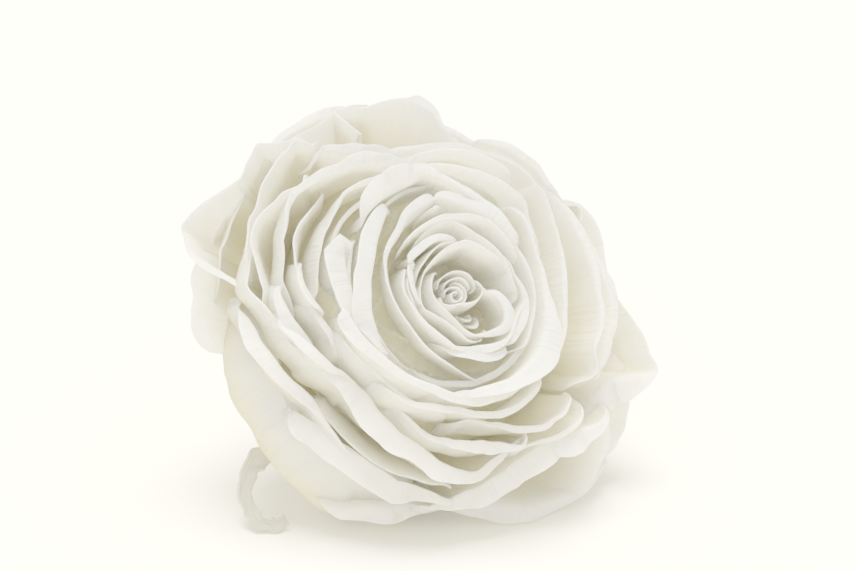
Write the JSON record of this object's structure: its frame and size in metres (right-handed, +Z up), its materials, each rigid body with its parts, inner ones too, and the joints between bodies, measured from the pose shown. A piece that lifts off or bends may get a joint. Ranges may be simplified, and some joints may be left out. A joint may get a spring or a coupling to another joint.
{
  "type": "preserved rose head",
  "caption": "Large ivory-white preserved rose head with a short cut stem, lying tilted on its lower petals with the bloom facing forward.",
  "frame": {"origin": "on the table, under the centre of the part's box", "axes": "+Z up from the table, -Y towards the viewer whom the bloom faces, +X to the viewer's right; the bloom's own axis rises 26.7 degrees and is turned 19.1 degrees towards +X"},
  "size_m": [0.0701, 0.0574, 0.0598],
  "materials": {
    "petals": "matte, soft, slightly translucent",
    "dried_green": "matte, dried"
  },
  "bodies": {
    "root": {"bloom": "petals", "calyx_and_stem": "dried_green"}
  },
  "joints": []
}
